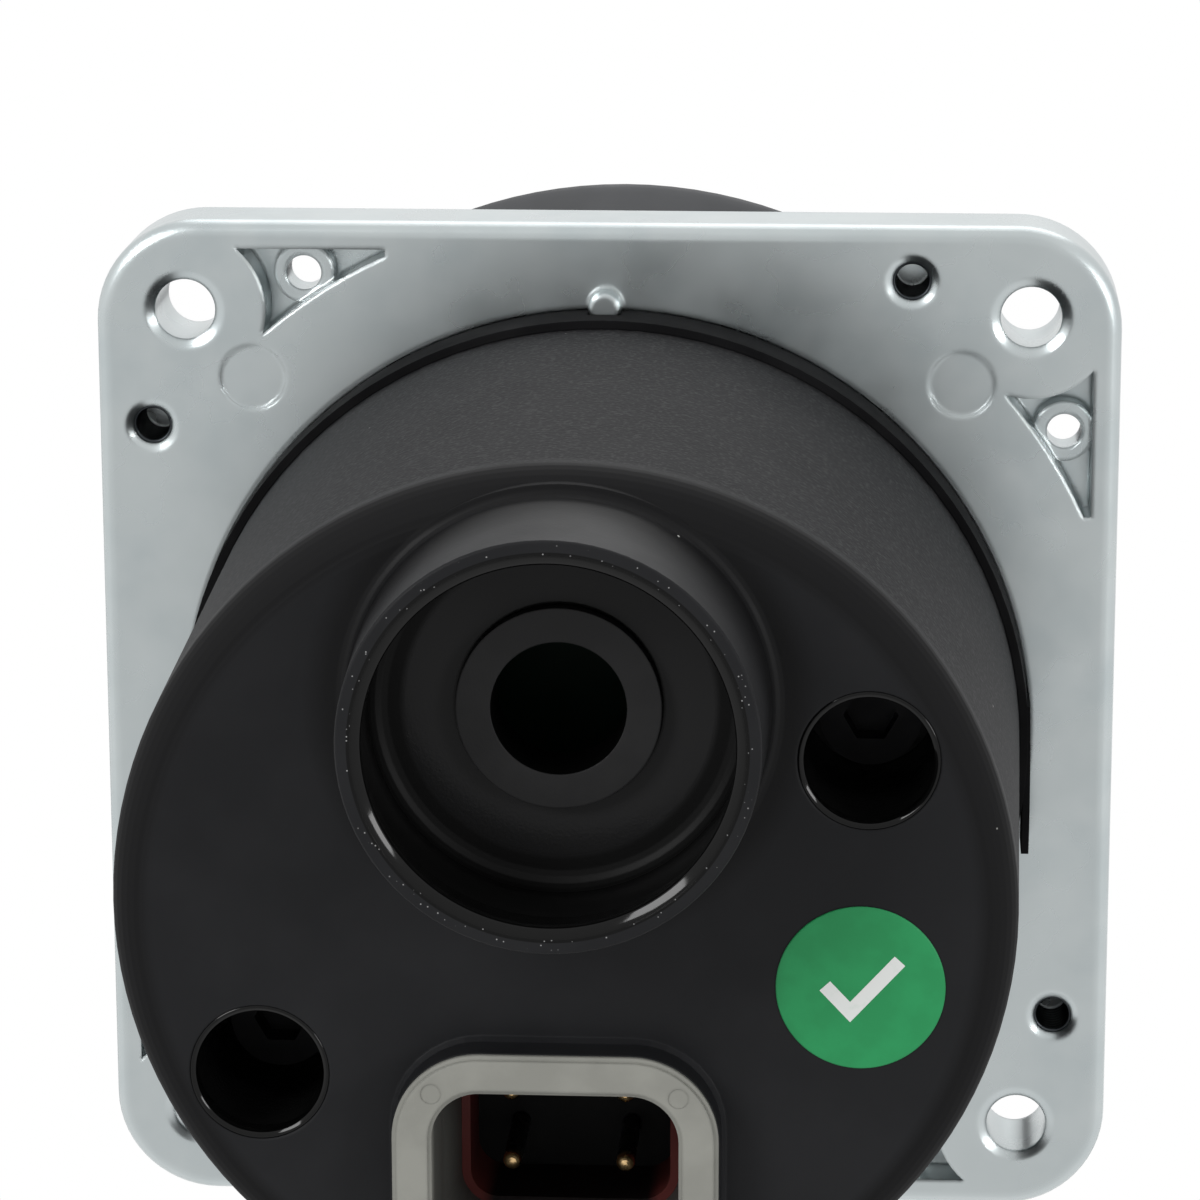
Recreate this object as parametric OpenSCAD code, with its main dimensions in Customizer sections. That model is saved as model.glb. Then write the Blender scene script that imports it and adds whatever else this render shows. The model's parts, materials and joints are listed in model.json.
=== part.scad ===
// Two-axis industrial joystick for a control panel.
// Millimetres. +Z runs up the lever, +Y points to the side of the electrical connector.
// The origin is the centre of the four panel bolts, on the underside of the mounting plate.

/* [Mounting plate] */
// Side of the square plate
plate_w = 94; // [92:0.5:110]
// Thickness of the plate
plate_t = 9.2; // [8.4:0.1:12]
// Radius of the plate's upright corners
plate_corner_r = 9.5; // [5:0.5:11]
// Rounding of the plate's long edges
plate_edge_r = 1.3; // [0.4:0.1:1.5]
// Distance of the panel bolt holes from the plate's sides
bolt_inset = 8.25; // [7.5:0.25:9]
// Diameter of the panel bolt holes
bolt_hole_d = 5.6; // [4.5:0.1:6.6]
// Countersink of the panel bolt holes, on the radius
bolt_chamfer = 0.9; // [0.3:0.1:1.2]
// Depth of that countersink
bolt_chamfer_l = 0.45; // [0.3:0.05:0.5]
// Radius of the solid boss left round each panel bolt hole
corner_boss_r = 7.5; // [6:0.1:8]
// How far the circle of the accessory holes reaches beyond the middle of the plate's side
accessory_out = 3.4; // [2.8:0.1:4]
// Diameter of the plain accessory holes
accessory_hole_d = 3.2; // [2.5:0.1:3.8]
// Diameter of the threaded accessory holes
accessory_thread_d = 3.55; // [3.55:0.05:4]
// Depth of the threaded accessory holes
accessory_thread_l = 7; // [4:0.5:7.5]
// Angle of the plain accessory holes from the plate's side
accessory_angle = 33.6; // [32:0.2:35]
// Depth of the three-sided lightening pockets
pocket_depth = 4.5; // [2:0.1:5]
// Wall left between a pocket and the plate's edge
pocket_border = 2.5; // [1.4:0.1:2.6]
// How far the pocket's round inner side bulges beyond the middle of the plate's side
pocket_bulge = 1.3; // [0.5:0.1:1.6]
// Length of the pocket, from the bolt hole's centre to its blunt tip
pocket_l = 18.55; // [17.5:0.05:19.5]
// Width of the pocket beside the corner boss
pocket_w = 8.5; // [8:0.1:9]
// Depth of the seat that locates the housing under the plate
seat_depth = 1.5; // [1:0.1:2.2]
// Diameter of the lever opening at the underside
opening_d = 33; // [30:0.5:36]
// Diameter of the lever opening at the top
opening_top_d = 41; // [38:0.5:41]
// Diameter of the clocking peg
peg_d = 3; // [2:0.1:3.4]
// How far the clocking peg stands below the plate
peg_h = 2.2; // [1:0.1:3]

/* [Housing] */
// Diameter of the housing at its rear
housing_d = 74.4; // [73:0.2:75.4]
// Growth of the housing's radius from rear to top
housing_draft = 1.2; // [0.4:0.1:1.4]
// Depth of the housing below the plate
housing_h = 60; // [56:0.5:75]
// Thickness of the housing's side wall
housing_wall = 2.6; // [1.8:0.1:3.2]
// Thickness of the housing's rear wall
rear_wall = 3; // [2:0.1:4]
// Rounding of the housing's rear edge
rear_edge_r = 3.5; // [1.5:0.1:4]
// Thickness of the seal strip round the housing
strip_t = 0.8; // [0.4:0.1:0.9]
// Width of the seal strip
strip_w = 5; // [3:0.5:10]

/* [Cable port] */
// Distance of the port's axis from the lever's axis
port_offset = 18.1; // [17:0.1:18.5]
// Outer diameter of the port's cup at its rim
port_d = 33.4; // [30:0.2:33.8]
// Height of the cup above the rear face
port_h = 13.7; // [8:0.1:16]
// Thickness of the cup's wall at its rim
port_wall = 1.3; // [1:0.05:2]
// Outer diameter of the cable bush
bush_d = 16.6; // [14:0.2:20]
// Bore of the cable bush
bush_bore_d = 11; // [8:0.2:12]
// How far the bush stands above the cup's floor
bush_proud = 1.2; // [0.4:0.1:2]

/* [Electrical connector] */
// Distance of the connector's centre from the lever's axis
conn_offset = 22.5; // [22:0.1:22.6]
// How far the connector sits to the side
conn_side = -0.3; // [-0.6:0.1:0.6]
// Width of the connector's rim
conn_w = 26.7; // [25.5:0.1:27.5]
// Length of the connector's rim
conn_l = 23.8; // [22.8:0.1:24]
// Corner radius of the connector's rim
conn_corner_r = 7.2; // [6.4:0.1:7.8]
// Width of the connector's rim band
conn_band = 3.25; // [2.9:0.05:3.5]
// Height of the connector's rim above the rear face
conn_h = 4; // [2.5:0.1:8]
// Depth of the socket from the rim to its floor
socket_depth = 26.5; // [24:0.5:27.5]
// Diameter of the contact pins
pin_d = 1.6; // [1:0.1:1.8]
// Distance between the two columns of pins
pin_pitch_x = 9.65; // [8:0.05:10.5]
// Distance between the two rows of pins
pin_pitch_y = 6.2; // [4:0.1:7]
// Free length of the pins above the socket's floor
pin_free_l = 10.5; // [8:0.5:15]

/* [Housing screws] */
// Sideways place of the screw wells
well_x = 24.9; // [24:0.1:25.4]
// Lengthwise place of the screw wells
well_y = 13.7; // [13:0.1:14.2]
// Diameter of the screw wells
well_d = 11.1; // [10:0.1:11.6]
// Depth of the screw head below the rear face
head_depth = 14; // [8:0.5:14]
// Diameter of the housing screws
screw_d = 5; // [4:0.5:5]

/* [Gimbal] */
// Depth of the pivot below the plate
pivot_drop = 12; // [11.5:0.1:13]
// Diameter of the pivot pins
pivot_pin_d = 5; // [4:0.1:5.4]
// Running clearance of the pins in their bushes, on the radius
running_gap = 0.05; // [0.02:0.01:0.08]
// Inner radius of the gimbal ring
ring_r = 10.5; // [10.2:0.1:10.8]
// Height of the gimbal ring
ring_h = 8; // [6:0.5:9]
// Wire diameter of the centring springs
spring_wire_d = 1.2; // [0.8:0.1:1.3]
// Number of turns in each centring spring
spring_turns = 3; // [2:1:3]

/* [Lever] */
// Diameter of the lever's shaft
shaft_d = 12; // [10:0.5:12]
// Height of the lower end of the grip above the plate's underside
grip_z = 95.5; // [94:0.5:110]
// Length of the grip's shells
grip_l = 62; // [55:1:70]
// Radius of the grip's waist
grip_waist_r = 15.2; // [14:0.1:16]
// Swell of the grip under the palm
grip_swell = 3.4; // [1:0.1:3.8]
// Thickness of the grip's shells
grip_wall = 2.8; // [2:0.1:3.2]
// Height of the grip's cap
cap_h = 7.5; // [5:0.5:9]

/* [Boot] */
// Radius of the boot's widest fold
boot_r = 45.4; // [42:0.1:46]
// Height of the widest fold above the plate
fold_rise = 24; // [21:0.5:28]
// Distance between two folds
fold_pitch = 12; // [11:0.2:12.4]
// Number of folds
fold_count = 4; // [3:1:4]
// How much smaller each fold is than the one below
fold_taper = 6.6; // [6:0.1:7]
// Depth of a fold
fold_amp = 5.4; // [4:0.1:5.6]
// Thickness of the rubber, measured level
boot_wall = 1.9; // [1.4:0.1:2.4]

/* [Hidden] */
$fn = 96;
eps = 0.01;
// Clearance of a part that is pressed in or clamped
press_gap = 0.01;
// Clearance of a part that drops into its place
slip_gap = 0.1;
// Side clearance of a moving part
side_gap = 0.3;

// Heights of the main levels
rear_z = -housing_h;
pivot_z = -pivot_drop;
board_t = 1.6;
insert_t = 4;
socket_floor_z = rear_z - conn_h + socket_depth;
board_z = socket_floor_z + insert_t;
board_top_z = board_z + board_t;
inner_rear_z = rear_z + rear_wall;

// Housing radii at the top and at any height
housing_top_r = housing_d / 2 + housing_draft;
function housing_r(z) = housing_d / 2 + housing_draft * (z - rear_z) / (seat_depth - rear_z);
seat_r = housing_top_r + 0.9;

// Mounting plate
bolt_at = plate_w / 2 - bolt_inset;
accessory_r = plate_w / 2 + accessory_out;
pocket_inner_r = plate_w / 2 + pocket_bulge;
pocket_web = 1.5;
pocket_boss_wall = 1.2;
accessory_head_gap = 1.7;
plate_mark_r = 3;
plate_mark_at = seat_r + 6.7;
plate_mark_depth = 0.12;
peg_at = housing_top_r + peg_d / 2 - 0.3;

// Face seal between the housing's top and the plate
face_seal_r = housing_top_r - 0.7;
face_seal_w = 1.6;
face_seal_h = 1.25;
face_seal_gap = 0.05;

// Housing screws
screw_r = screw_d / 2;
head_r = 0.85 * screw_d;
head_h = screw_d;
head_z = rear_z + head_depth;
seat_z = head_z + head_h;
well_floor_t = 3;
pillar_r = screw_r + 2.5;
well_pillar_r = well_d / 2 + 1.6;
screw_tip_z = plate_t - 2.2;

// Cable port
port_r = port_d / 2;
port_rim_z = rear_z - port_h;
port_draft = 0.4;
port_floor_z = rear_z - 0.3;
port_fillet = 1.4;
port_foot_r = 1;
port_floor_r = port_r - port_wall - port_fillet - 0.1;
bush_flange_r = bush_d / 2 + 2;
bush_flange_t = 2;

// Electrical connector
rim_z = rear_z - conn_h;
rim_t = 0.8;
rim_mark_r = 0.85;
rim_mark_at = conn_corner_r - (conn_corner_r - conn_band / 2) * cos(45);
shroud_w = conn_w - 3.2;
shroud_l = conn_l - 3.2;
shroud_corner_r = conn_corner_r - 1.6;
socket_w = conn_w - 2 * conn_band;
socket_l = conn_l - 2 * conn_band;
socket_corner_r = conn_corner_r - conn_band;
socket_step = 0.8;
taper_z = rim_z + 10.5;
seal_z = taper_z + 8;
seal_t = 0.75;
pin_tip_z = socket_floor_z - pin_free_l;

// Board, its supports and screws; each pillar by its distance from the board's edge and its angle
board_r = housing_r(board_z) - housing_wall - 0.5;
board_pillar_r = 3.5;
board_pillars = [[7.304, 23.7495], [4.617, -53.1301], [7.304, 203.7495], [4.617, 126.8699]];
board_screw_r = 1.25;
board_screw_l = 8;
board_screw_head_r = 2.3;
board_screw_head_h = 1.6;

// Chips: width, length and height, and how far each row lies inside the board's edge
hall_at = 3.2;
hall_size = [4.4, 5, 1.2];
main_chip = [7, 7, 1];
main_chip_at = [-14, 22.617];
driver_chip = [5, 4, 1.2];
driver_chip_x = [-4, 8];
driver_chip_inset = 16.617;
small_chip = [2, 1.2, 0.8];
small_chip_pitch = 4;
small_chip_inset = 9.617;

// Gimbal, from the pivot outward
pivot_pin_r = pivot_pin_d / 2;
bush_wall = 1.45;
ring_wall = 4.5;
ring_out_r = ring_r + ring_wall;
ring_boss_r = 5;
ring_face = ring_out_r + 0.9;
bush_flange = 0.9;
ear_in = ring_face + side_gap + bush_flange;
ear_t = 4.4;
ear_out = ear_in + ear_t;
ear_r = 6;
ear_half = ear_r - 0.3;
frame_r = ear_out + 1.2;
frame_opening_r = ring_face + 0.2;
frame_z = -3;
frame_screw_r = 1.5;
frame_screw_head_r = 2.6;
frame_screw_head_h = 2.4;
frame_screw_at = opening_top_d / 2 + frame_screw_r + 1.7;
frame_screw_angles = [60, 120, 240, 300];
frame_screw_tip_z = plate_t - 2;
frame_relief = 0.3;
hub_r = 7;
hub_h = 16;
hub_face = ring_r - 2.4;
hub_bush_in = hub_face + side_gap;

// Centring springs: coils round a pivot pin, legs each side of two posts
wire_r = spring_wire_d / 2;
coil_r = pivot_pin_r + wire_r + 0.9;
coil_pitch = spring_wire_d + 0.05;
post_r = 0.9;
leg_off = post_r + wire_r + 0.05;
fixed_post_at = coil_r + wire_r + post_r + 0.7;
moving_post_at = fixed_post_at + 2 * post_r + 0.6;
leg_end = moving_post_at + 1.4;
coil_in = wire_r + side_gap;
coil_l = spring_turns * coil_pitch;
arm_in = coil_in + coil_l + wire_r + side_gap;
arm_t = 1.6;
arm_r = pivot_pin_r + 1.5;

// Lever
shaft_r = shaft_d / 2;
stub_r = 4;
holder_r = 5.5;
holder_z = pivot_z - 16.5;
magnet_r = 3;
magnet_h = 3;
stub_end_z = holder_z + magnet_h + 1;
hub_top_z = pivot_z + hub_h / 2;
hub_low_z = pivot_z - hub_h / 2;
shaft_top_z = grip_z + 0.6 * grip_l;
washer_t = 1.5;
nut_h = 7;
nut_flats = 1.5 * shaft_d;
cap_z = grip_z + grip_l;

// Boot and its clamp
boot_flange_t = 2;
boot_base_r = 36.5;
boot_flange_r = boot_base_r + 5.5;
clamp_t = 3;
clamp_z = plate_t + boot_flange_t;
clamp_top_z = clamp_z + clamp_t;
clamp_screw_at = boot_base_r + 3.4;
clamp_screw_r = 1.5;
clamp_screw_tip_z = plate_t - 4;
clamp_screw_head_r = 2.75;
clamp_screw_head_h = 2;
fold_z = plate_t + fold_rise;
boot_env_r = boot_r - fold_amp;
last_fold_z = fold_z + (fold_count - 1) * fold_pitch;
neck_z = last_fold_z + 9;
neck_l = 7;
neck_r = shaft_r + side_gap + 1.6;
collar_t = 1.4;
collar_l = 4;
collar_rise = 1.5;

// ---------------------------------------------------------------- helpers

function arc(cx, cy, r, a0, a1, n = 6) =
    [for (i = [0:n]) let (a = a0 + (a1 - a0) * i / n) [cx + r * cos(a), cy + r * sin(a)]];

// A tube of radius r along a list of points, as rings of n sides
function unit3(v) = v / norm(v);
function tangent_at(p, i) =
    i == 0 ? unit3(p[1] - p[0])
    : i == len(p) - 1 ? unit3(p[i] - p[i - 1])
    : unit3(unit3(p[i + 1] - p[i]) + unit3(p[i] - p[i - 1]));
function ring_points(c, t, side, r, n) =
    let (u = unit3(side - (side * t) * t), v = cross(t, u))
    [for (k = [0:n - 1]) c + r * (cos(360 * k / n) * u + sin(360 * k / n) * v)];
module swept_wire(p, axis, r, n = 8) {
    rings = len(p);
    points = [for (i = [0:rings - 1]) each ring_points(p[i], tangent_at(p, i), axis, r, n)];
    sides = [for (i = [0:rings - 2], k = [0:n - 1])
        let (a = i * n + k, b = i * n + (k + 1) % n) [a, b, b + n, a + n]];
    first = [for (k = [n - 1:-1:0]) k];
    last = [for (k = [0:n - 1]) (rings - 1) * n + k];
    polyhedron(points, concat(sides, [first], [last]));
}

// Flat outline of a rectangle with round corners
module round_rect(w, l, r) {
    square([w - 2 * r, l], center = true);
    square([w, l - 2 * r], center = true);
    for (x = [-1, 1], y = [-1, 1])
        translate([x * (w / 2 - r), y * (l / 2 - r)]) circle(r);
}

module round_block(w, l, r, z0, z1) {
    translate([0, 0, z0]) linear_extrude(z1 - z0) round_rect(w, l, r);
}

module rod(r, z0, z1) {
    translate([0, 0, z0]) cylinder(r = r, h = z1 - z0);
}

module tube(r_out, r_in, z0, z1) {
    difference() {
        rod(r_out, z0, z1);
        rod(r_in, z0 - 1, z1 + 1);
    }
}

// Rods along X and along Y, at the height of the pivot
module rod_x(r, x0, x1) {
    translate([x0, 0, pivot_z]) rotate([0, 90, 0]) cylinder(r = r, h = x1 - x0);
}
module rod_y(r, y0, y1) {
    translate([0, y0, pivot_z]) rotate([-90, 0, 0]) cylinder(r = r, h = y1 - y0);
}

// Cap screw with its head down at z0, shank up to z1
module cap_screw_up(r, head_r, head_h, z0, z1, socket) {
    difference() {
        union() {
            rod(head_r, z0, z0 + head_h);
            rod(r, z0 + head_h - eps, z1);
        }
        translate([0, 0, z0 - eps]) cylinder(r = socket, h = head_h * 0.55, $fn = 6);
    }
}

module corners() {
    for (x = [-1, 1], y = [-1, 1]) translate([x * bolt_at, y * bolt_at, 0]) children();
}

module quarter_turns() {
    for (k = [0:3]) rotate([0, 0, 90 * k]) children();
}

module at_connector() {
    translate([conn_side, conn_offset, 0]) children();
}

module at_wells() {
    for (s = [-1, 1]) translate([s * well_x, -s * well_y, 0]) children();
}

module at_board_pillars() {
    for (p = board_pillars) rotate([0, 0, p[1]]) translate([board_r - p[0], 0, 0]) children();
}

module at_frame_screws() {
    for (a = frame_screw_angles) rotate([0, 0, a]) translate([frame_screw_at, 0, 0]) children();
}

module at_clamp_screws() {
    quarter_turns() rotate([0, 0, 22.5]) translate([clamp_screw_at, 0, 0]) children();
}

// ---------------------------------------------------------------- mounting plate

function slab_profile(w) = concat(
    [[0, 0]],
    arc(w - plate_edge_r, plate_edge_r, plate_edge_r, -90, 0, 4),
    arc(w - plate_edge_r, plate_t - plate_edge_r, plate_edge_r, 0, 90, 4),
    [[0, plate_t]]
);

module plate_slab() {
    inset = plate_w / 2 - plate_corner_r;
    for (x = [-1, 1], y = [-1, 1])
        translate([x * inset, y * inset, 0]) rotate_extrude() polygon(slab_profile(plate_corner_r));
    for (k = [0:3]) rotate([0, 0, 90 * k]) rotate([90, 0, 0])
        linear_extrude(2 * inset, center = true) polygon(slab_profile(plate_w / 2));
}

// Hole with a shallow countersink at the underside of the plate
module bolt_hole() {
    r = bolt_hole_d / 2;
    rod(r, -1, plate_t + 1);
    translate([0, 0, -eps]) cylinder(r1 = r + bolt_chamfer, r2 = r, h = bolt_chamfer_l);
}

module threaded_hole() {
    r = accessory_thread_d / 2;
    rod(r, -1, accessory_thread_l);
    translate([0, 0, -eps]) cylinder(r1 = r + 0.65, r2 = r, h = 0.45);
}

// Three-sided pocket between the corner boss, the housing and the plate's edge, with a blunt tip
module pocket() {
    side = plate_w / 2 - pocket_border;
    translate([0, 0, -1]) linear_extrude(pocket_depth + 1) difference() {
        translate([-bolt_at, -side]) square([pocket_l, pocket_w]);
        circle(pocket_inner_r);
        translate([-bolt_at, -bolt_at]) circle(corner_boss_r);
    }
}

module plain_hole_place() {
    rotate([0, 0, -90 - accessory_angle]) translate([accessory_r, 0, 0]) children();
}

module threaded_hole_place() {
    rotate([0, 0, 180 + accessory_angle]) translate([accessory_r, 0, 0]) children();
}

module pocket_boss() {
    intersection() {
        plain_hole_place() rod(accessory_hole_d / 2 + pocket_boss_wall, 2, plate_t);
        round_block(plate_w - 1, plate_w - 1, plate_corner_r, 0, plate_t);
    }
}

module mounting_plate() {
    color([0.64, 0.67, 0.68]) difference() {
        union() {
            difference() {
                plate_slab();
                quarter_turns() pocket();
            }
            quarter_turns() pocket_boss();
            translate([0, -peg_at, 0]) clocking_peg();
        }
        corners() bolt_hole();
        quarter_turns() {
            threaded_hole_place() threaded_hole();
            plain_hole_place() {
                rod(accessory_hole_d / 2, -1, plate_t + 1);
                rod(accessory_hole_d / 2 + accessory_head_gap, pocket_depth + pocket_web, plate_t + 1);
            }
            rotate([0, 0, 45]) translate([plate_mark_at, 0, 0]) rod(plate_mark_r, -1, plate_mark_depth);
        }
        housing_seat();
        lever_opening();
        tube(
            face_seal_r + face_seal_gap, face_seal_r - face_seal_w - face_seal_gap,
            seat_depth - eps, seat_depth + face_seal_h + face_seal_gap
        );
        at_wells() rod(screw_r + press_gap, seat_depth - eps, screw_tip_z + 0.6);
        at_frame_screws() rod(frame_screw_r + press_gap, seat_depth - eps, frame_screw_tip_z + 0.4);
        at_clamp_screws() rod(clamp_screw_r + press_gap, clamp_screw_tip_z - 0.8, plate_t + 1);
    }
}

// Round seat for the housing, with the clocking peg left standing in its edge
module housing_seat() {
    difference() {
        rod(seat_r, -1, seat_depth);
        translate([0, -peg_at, 0]) rod(peg_d / 2, -2, seat_depth + 1);
    }
}

module clocking_peg() {
    rod(peg_d / 2, -peg_h + 0.8, seat_depth + 1);
    translate([0, 0, -peg_h + 0.8]) intersection() {
        sphere(peg_d / 2);
        rod(peg_d / 2, -0.8, 0.1);
    }
}

module lever_opening() {
    translate([0, 0, seat_depth - eps]) rotate_extrude() polygon([
        [0, -1], [opening_d / 2, -1], [opening_d / 2, 1],
        [opening_top_d / 2, plate_t - seat_depth - 1.2], [opening_top_d / 2, plate_t], [0, plate_t]
    ]);
}

// ---------------------------------------------------------------- housing

module housing_outside() {
    r = housing_d / 2;
    rotate_extrude() polygon(concat(
        [[0, rear_z]],
        arc(r - rear_edge_r, rear_z + rear_edge_r, rear_edge_r, -90, 0, 8),
        [[housing_top_r, seat_depth], [0, seat_depth]]
    ));
}

module housing_inside() {
    r = housing_d / 2 - housing_wall;
    rotate_extrude() polygon([
        [0, inner_rear_z], [r - 1.5, inner_rear_z], [r, inner_rear_z + 1.5],
        [housing_top_r - housing_wall, seat_depth + eps], [0, seat_depth + eps]
    ]);
}

module port_outside() {
    base_r = port_r + port_draft;
    translate([0, -port_offset, 0]) rotate_extrude() polygon(concat(
        [[0, port_rim_z], [port_r - 0.15, port_rim_z], [port_r, port_rim_z + 0.15]],
        arc(base_r + port_foot_r, rear_z - port_foot_r, port_foot_r, 180, 90, 4),
        [[base_r + port_foot_r, rear_z + 1], [0, rear_z + 1]]
    ));
}

module port_inside() {
    mouth_r = port_r - port_wall;
    translate([0, -port_offset, 0]) rotate_extrude() polygon(concat(
        [[0, port_rim_z - 1], [mouth_r + 0.15, port_rim_z - 1], [mouth_r + 0.15, port_rim_z]],
        [[mouth_r, port_rim_z + 0.15]],
        arc(port_floor_r, port_floor_z - port_fillet, port_fillet, 0, 90, 4),
        [[0, port_floor_z]]
    ));
}

// Low black collar that carries the connector's rim
module connector_collar() {
    at_connector() {
        round_block(conn_w + 0.2, conn_l + 0.2, conn_corner_r + 0.1, rim_z + rim_t, rear_z + 1.5);
        hull() {
            round_block(conn_w + 1, conn_l + 1, conn_corner_r + 0.5, rear_z, rear_z + 1, $fn = 32);
            round_block(conn_w + 0.2, conn_l + 0.2, conn_corner_r + 0.1, rear_z - 0.5, rear_z, $fn = 32);
        }
    }
}

module housing() {
    color([0.13, 0.13, 0.14]) difference() {
        union() {
            difference() {
                housing_outside();
                housing_inside();
            }
            intersection() {
                housing_outside();
                union() {
                    at_wells() rod(well_pillar_r, rear_z, seat_z + well_floor_t);
                    at_wells() rod(pillar_r, rear_z, seat_depth);
                    at_board_pillars() rod(board_pillar_r, rear_z, board_z);
                }
            }
            port_outside();
            connector_collar();
        }
        port_inside();
        translate([0, -port_offset, 0]) rod(bush_d / 2 + press_gap, port_floor_z - 1, 0);
        at_connector()
            round_block(shroud_w + 0.2, shroud_l + 0.2, shroud_corner_r + 0.1, rim_z - 1, 0);
        at_wells() {
            rod(well_d / 2, rear_z - 1, seat_z);
            translate([0, 0, rear_z - eps])
                cylinder(r1 = well_d / 2 + 0.35, r2 = well_d / 2, h = 0.35);
            rod(screw_r + 0.25, rear_z, seat_depth + 1);
        }
        at_board_pillars() rod(board_screw_r + press_gap, board_z - board_screw_l - 1, board_z + 1);
        translate([0, -peg_at, 0]) rod(peg_d / 2 + slip_gap, -peg_h - 0.2, seat_depth + 1);
    }
}

module panel_seal_strip() {
    z0 = -strip_w;
    color([0.07, 0.07, 0.08]) difference() {
        rotate_extrude() polygon([
            [housing_r(z0) + press_gap, z0], [housing_r(z0) + strip_t, z0],
            [housing_r(0) + strip_t, 0], [housing_r(0) + press_gap, 0]
        ]);
        translate([0, -peg_at, 0]) rod(peg_d / 2 + slip_gap, -peg_h - 0.2, 1);
    }
}

module housing_seal() {
    color([0.08, 0.08, 0.08])
        tube(face_seal_r, face_seal_r - face_seal_w, seat_depth, seat_depth + face_seal_h);
}

module housing_screws() {
    color([0.2, 0.2, 0.22]) at_wells()
        cap_screw_up(screw_r, head_r, head_h, head_z, screw_tip_z, 0.46 * screw_d);
}

// ---------------------------------------------------------------- cable port

module cable_bush() {
    color([0.1, 0.1, 0.11]) translate([0, -port_offset, 0]) difference() {
        union() {
            rod(bush_d / 2, port_floor_z - bush_proud, inner_rear_z);
            rod(bush_flange_r, inner_rear_z, inner_rear_z + bush_flange_t);
        }
        rod(bush_bore_d / 2, port_rim_z, 0);
    }
}

// ---------------------------------------------------------------- connector

module connector_shroud() {
    color([0.59, 0.585, 0.56]) at_connector() difference() {
        union() {
            round_block(conn_w - 0.7, conn_l - 0.7, conn_corner_r - 0.35, rim_z, rim_z + rim_t);
            round_block(conn_w, conn_l, conn_corner_r, rim_z + 0.35, rim_z + rim_t);
            round_block(shroud_w, shroud_l, shroud_corner_r, rim_z + 0.4, board_z);
        }
        round_block(socket_w, socket_l, socket_corner_r, rim_z - 1, taper_z);
        round_block(socket_w + 0.6, socket_l + 0.6, socket_corner_r + 0.3, rim_z - 1, rim_z + 0.3);
        hull() {
            round_block(socket_w, socket_l, socket_corner_r, taper_z - 0.2, taper_z, $fn = 32);
            socket_throat(seal_z, seal_z + 0.2, $fn = 32);
        }
        socket_throat(seal_z, board_z + 1);
        for (x = [-1, 1], y = [-1, 1])
            translate([x * (conn_w / 2 - rim_mark_at), y * (conn_l / 2 - rim_mark_at), rim_z])
                rod(rim_mark_r, -1, 0.08);
    }
}

module socket_throat(z0, z1, gap = 0) {
    round_block(
        socket_w - 2 * (socket_step + gap), socket_l - 2 * (socket_step + gap),
        socket_corner_r - socket_step - gap, z0, z1
    );
}

module connector_seal() {
    color([0.42, 0.06, 0.05]) at_connector() difference() {
        socket_throat(seal_z, socket_floor_z, press_gap);
        socket_throat(seal_z - 1, socket_floor_z + 1, seal_t);
    }
}

module connector_insert() {
    color([0.09, 0.09, 0.09]) at_connector() difference() {
        socket_throat(socket_floor_z, board_z, press_gap);
        at_pins() rod(pin_d / 2 + press_gap, socket_floor_z - 1, board_z + 1);
    }
}

module at_pins() {
    for (x = [-1, 1], y = [-1, 1])
        translate([x * pin_pitch_x / 2, y * pin_pitch_y / 2, 0]) children();
}

module connector_pins() {
    tip = 0.5 * pin_d;
    color([0.85, 0.66, 0.32]) at_connector() at_pins() {
        translate([0, 0, pin_tip_z]) rotate_extrude() polygon(concat(
            arc(0, tip, tip, -90, 0, 6),
            [[tip, board_top_z - pin_tip_z + 0.8], [0, board_top_z - pin_tip_z + 0.8]]
        ));
    }
}

// ---------------------------------------------------------------- circuit board

module circuit_board() {
    color([0.05, 0.25, 0.14]) difference() {
        rod(board_r, board_z, board_top_z);
        at_wells() rod(pillar_r + 0.4, board_z - 1, board_top_z + 1);
        at_board_pillars() rod(board_screw_r + 0.25, board_z - 1, board_top_z + 1);
        at_connector()
            at_pins() rod(pin_d / 2 + press_gap, board_z - 1, board_top_z + 1);
    }
}

module board_screws() {
    color([0.7, 0.7, 0.72]) at_board_pillars() {
        rod(board_screw_r, board_z - board_screw_l, board_top_z + eps);
        rod(board_screw_head_r, board_top_z, board_top_z + board_screw_head_h);
    }
}

module chip(x, y, size) {
    translate([x - size[0] / 2, y - size[1] / 2, board_top_z]) cube(size);
}

module hall_sensors() {
    color([0.1, 0.1, 0.1]) for (x = [-1, 1]) chip(hall_at * x, 0, hall_size);
}

module board_chips() {
    color([0.14, 0.14, 0.15]) {
        chip(main_chip_at[0], main_chip_at[1] - board_r, main_chip);
        for (x = driver_chip_x) chip(x, driver_chip_inset - board_r, driver_chip);
        for (i = [-3:3]) chip(i * small_chip_pitch, small_chip_inset - board_r, small_chip);
    }
}

module inspection_sticker() {
    color([0.14, 0.55, 0.32]) translate([24.4, 5.4, 0]) rod(6.9, rear_z - 0.15, rear_z);
}

// ---------------------------------------------------------------- gimbal

// Tongue and post that a centring spring's legs straddle, along +Z from z0
module spring_post(at, tongue_z0, tongue_z1, post_z0, post_z1) {
    translate([0, -at, 0]) {
        rod(post_r + 0.6, tongue_z0, tongue_z1);
        rod(post_r, post_z0, post_z1);
    }
    web = post_r + 0.4;
    translate([-web, -at, tongue_z0]) cube([2 * web, at, tongue_z1 - tongue_z0]);
}

// Turns a piece drawn along +Z, with its posts on -Y, to lie along +X or +Y with its posts down
module along_x() {
    translate([0, 0, pivot_z]) rotate([90, 0, 90]) children();
}
module along_y() {
    translate([0, 0, pivot_z]) rotate([90, 0, 180]) children();
}

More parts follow.
